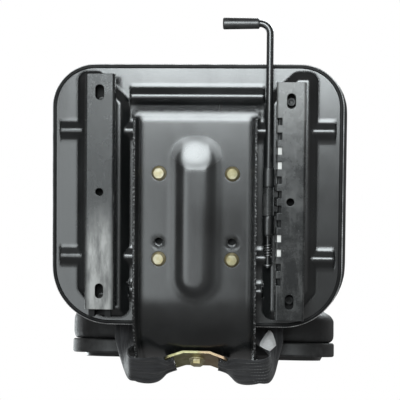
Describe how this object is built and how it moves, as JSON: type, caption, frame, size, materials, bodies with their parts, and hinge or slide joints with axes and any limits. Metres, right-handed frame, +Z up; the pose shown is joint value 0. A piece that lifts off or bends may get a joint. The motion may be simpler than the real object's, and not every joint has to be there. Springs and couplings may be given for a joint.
{
  "type": "machine seat",
  "caption": "Padded operator's seat with a pressed steel pan, a fixed backrest on a folded bracket, lockable slide rails, a release lever and a lap belt.",
  "frame": {"origin": "on the surface that the rails stand on, at the middle of the seat's footprint", "axes": "+Z up, the occupant faces -Y, +X is the occupant's left, where the lever is"},
  "size_m": [0.436, 0.5654, 0.435],
  "materials": {
    "black_paint": "gloss black paint on pressed sheet steel",
    "rail_coating": "black coating, semi-gloss and scuffed",
    "yellow_zinc": "yellow passivated zinc plating",
    "plain_zinc": "bright zinc plating",
    "spring_steel": "oiled spring wire",
    "vinyl": "black grained vinyl cover over foam",
    "edge_trim": "black edge strip",
    "nylon": "natural white nylon",
    "grip": "soft black dipped grip",
    "webbing": "black woven polyester webbing",
    "buckle_plastic": "black moulded plastic",
    "button_red": "red moulded plastic",
    "tongue_steel": "polished steel plate"
  },
  "bodies": {
    "left_rail": {"left_lower_rail": "rail_coating"},
    "right_rail": {"right_lower_rail": "rail_coating"},
    "seat": {"seat_pan": "black_paint", "back_bracket": "black_paint", "back_shell": "black_paint", "front_bearing": "black_paint", "rear_bearing": "black_paint", "left_upper_rail": "rail_coating", "right_upper_rail": "rail_coating", "bracket_bolts": "yellow_zinc", "belt_anchor": "yellow_zinc", "anchor_bolt": "yellow_zinc", "anchor_washer": "yellow_zinc", "bracket_weld_nuts": "plain_zinc", "back_weld_nuts": "plain_zinc", "rail_weld_nuts": "plain_zinc", "anchor_nut": "plain_zinc", "back_bolts": "plain_zinc", "rail_screws": "plain_zinc", "seat_cushion": "vinyl", "back_cushion": "vinyl", "pan_edge_trim": "edge_trim", "back_edge_trim": "edge_trim", "left_glides": "nylon", "right_glides": "nylon", "left_belt": "webbing", "right_belt": "webbing", "buckle_housing": "buckle_plastic", "tongue_cover": "buckle_plastic", "tongue_plate": "tongue_steel"},
    "lever": {"lever_rod": "rail_coating", "lever_grip": "grip", "latch_plate": "rail_coating", "return_spring": "spring_steel", "rod_retainer": "plain_zinc"},
    "button": {"buckle_button": "button_red"}
  },
  "joints": [
    {"name": "seat_slide", "type": "slide", "parent": "left_rail", "child": "seat", "axis": [0, 1, 0], "range_m": [-0.0618, 0.0618]},
    {"name": "right_rail_slide", "type": "slide", "parent": "seat", "child": "right_rail", "axis": [0, 1, 0], "range_m": [-0.0503, 0.0733]},
    {"name": "lever_turn", "type": "hinge", "parent": "seat", "child": "lever", "pos_m": [0.105, -0.02242, 0.015], "axis": [0, 1, 0], "range_deg": [0, 34], "stiffness_Nm_per_rad": 0.8, "springref_deg": -20.05},
    {"name": "button_press", "type": "slide", "parent": "seat", "child": "button", "axis": [0, 1, 0], "range_m": [0, 0.004], "stiffness_N_per_m": 800, "springref_m": -0.002}
  ]
}
